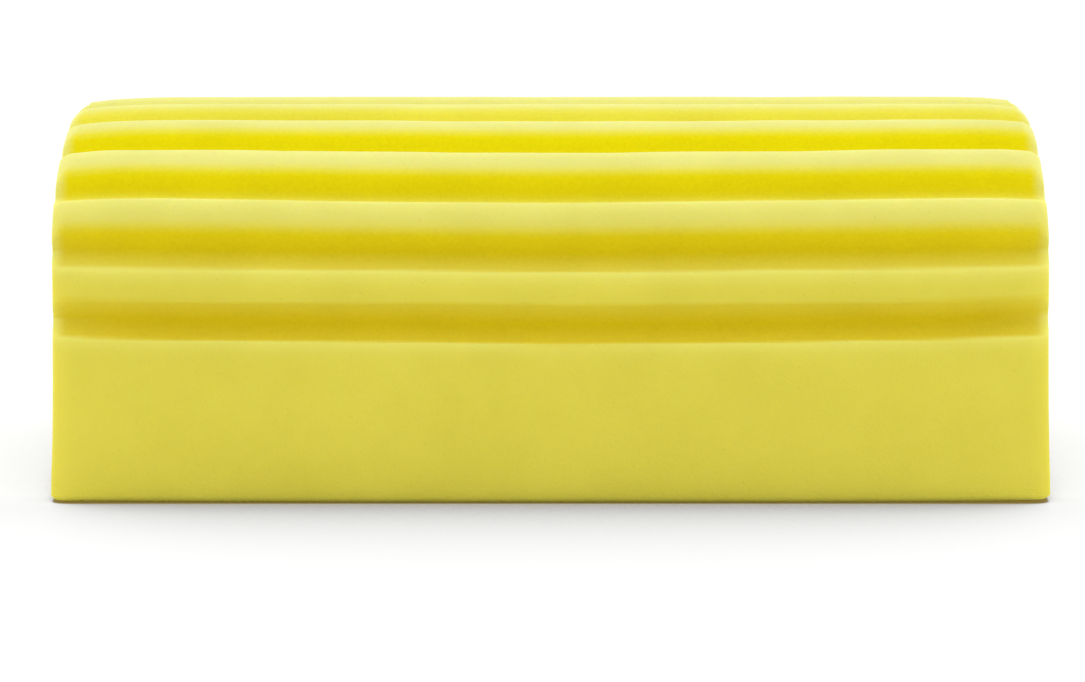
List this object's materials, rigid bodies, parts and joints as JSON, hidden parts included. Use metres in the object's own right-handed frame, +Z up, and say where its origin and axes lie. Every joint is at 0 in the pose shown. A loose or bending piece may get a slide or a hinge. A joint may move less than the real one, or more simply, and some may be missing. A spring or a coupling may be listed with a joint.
{
  "type": "foam cleaning sponge",
  "caption": "Moulded foam block with a flat base, flat lower walls and a half-round crown whose lengthwise scalloped grooves and ribs wipe dust and reach into slats.",
  "frame": {"origin": "centre of the underside, on the surface that the block rests on", "axes": "+X along the block's length and its grooves, +Z up from the flat base to the ribbed crown, -Y towards one long wall"},
  "size_m": [0.165, 0.076, 0.0621],
  "materials": {
    "foam": "matte fine-celled foam, dyed yellow through"
  },
  "bodies": {
    "root": {"foam_body": "foam"}
  },
  "joints": []
}
